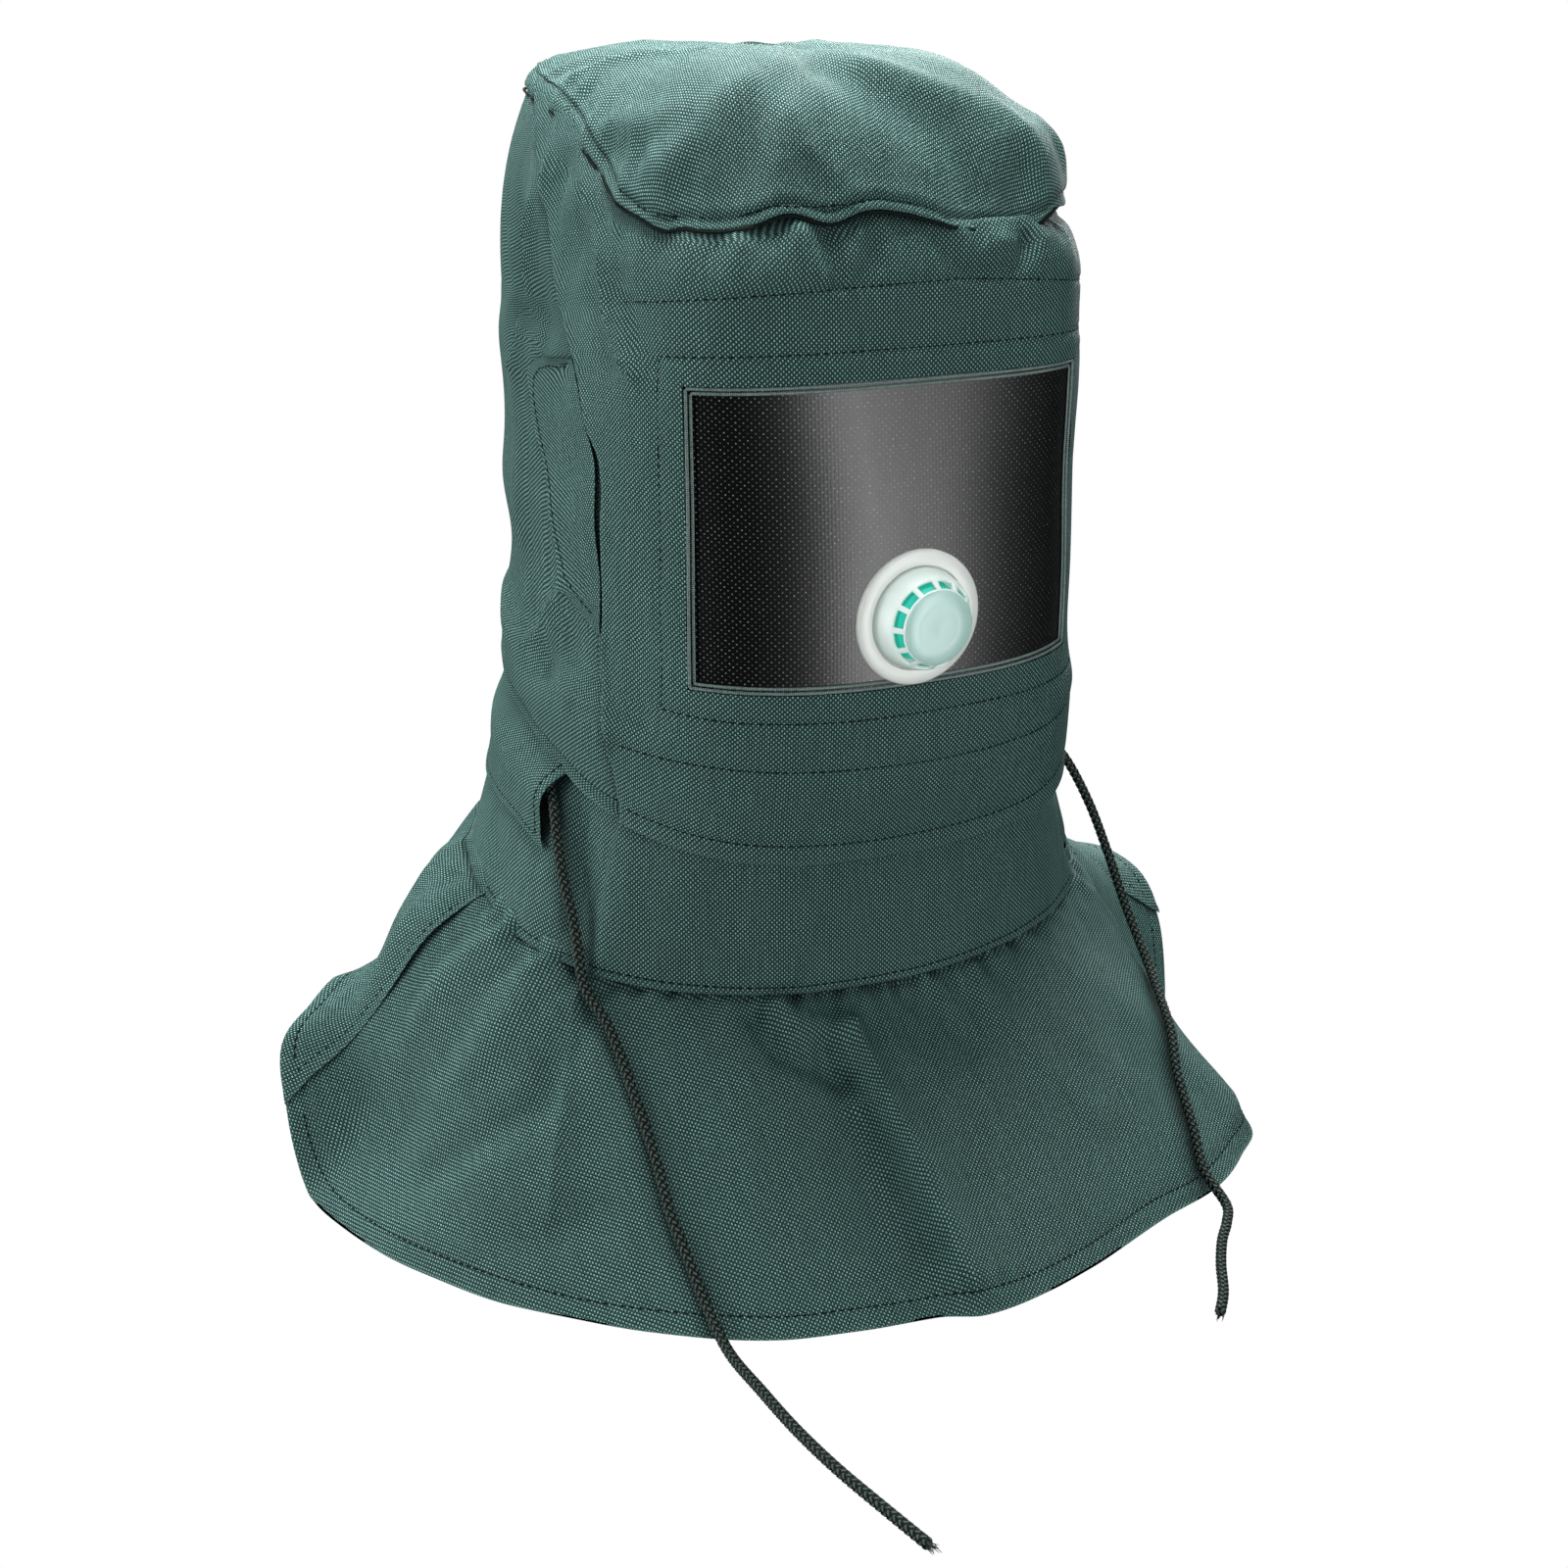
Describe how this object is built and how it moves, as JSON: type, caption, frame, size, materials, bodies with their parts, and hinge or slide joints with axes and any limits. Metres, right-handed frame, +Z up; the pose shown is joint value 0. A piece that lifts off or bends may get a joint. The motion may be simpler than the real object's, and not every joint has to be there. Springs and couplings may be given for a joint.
{
  "type": "sandblasting hood",
  "caption": "Loose cloth blasting hood with a shoulder cape, a curved visor in a stitched window, a round breathing valve and neck cords.",
  "frame": {"origin": "on the surface the hood stands on, below the middle of its box without the cords", "axes": "+Z up, -Y towards the front of the hood, -X towards the wearer's right"},
  "size_m": [0.5269, 0.6171, 0.5335],
  "materials": {
    "cloth": "coarse coated weave",
    "visor_film": "glossy dark film with a fine dot pattern",
    "edge_binding": "narrow bound edge",
    "valve_white": "translucent white",
    "valve_mint": "translucent pale mint",
    "valve_teal": "smooth",
    "cord_braid": "round braid"
  },
  "bodies": {
    "root": {"crown": "cloth", "front_panel": "cloth", "back_panel": "cloth", "ear_patch_right": "cloth", "ear_patch_left": "cloth", "neck_band": "cloth", "cord_channel": "cloth", "cape_front": "cloth", "cape_back": "cloth", "visor": "visor_film", "window_binding": "edge_binding", "valve_base": "valve_white", "valve_cap": "valve_mint", "valve_membrane": "valve_teal", "valve_back_ring": "valve_white", "cord_right": "cord_braid", "cord_left": "cord_braid"}
  },
  "joints": []
}
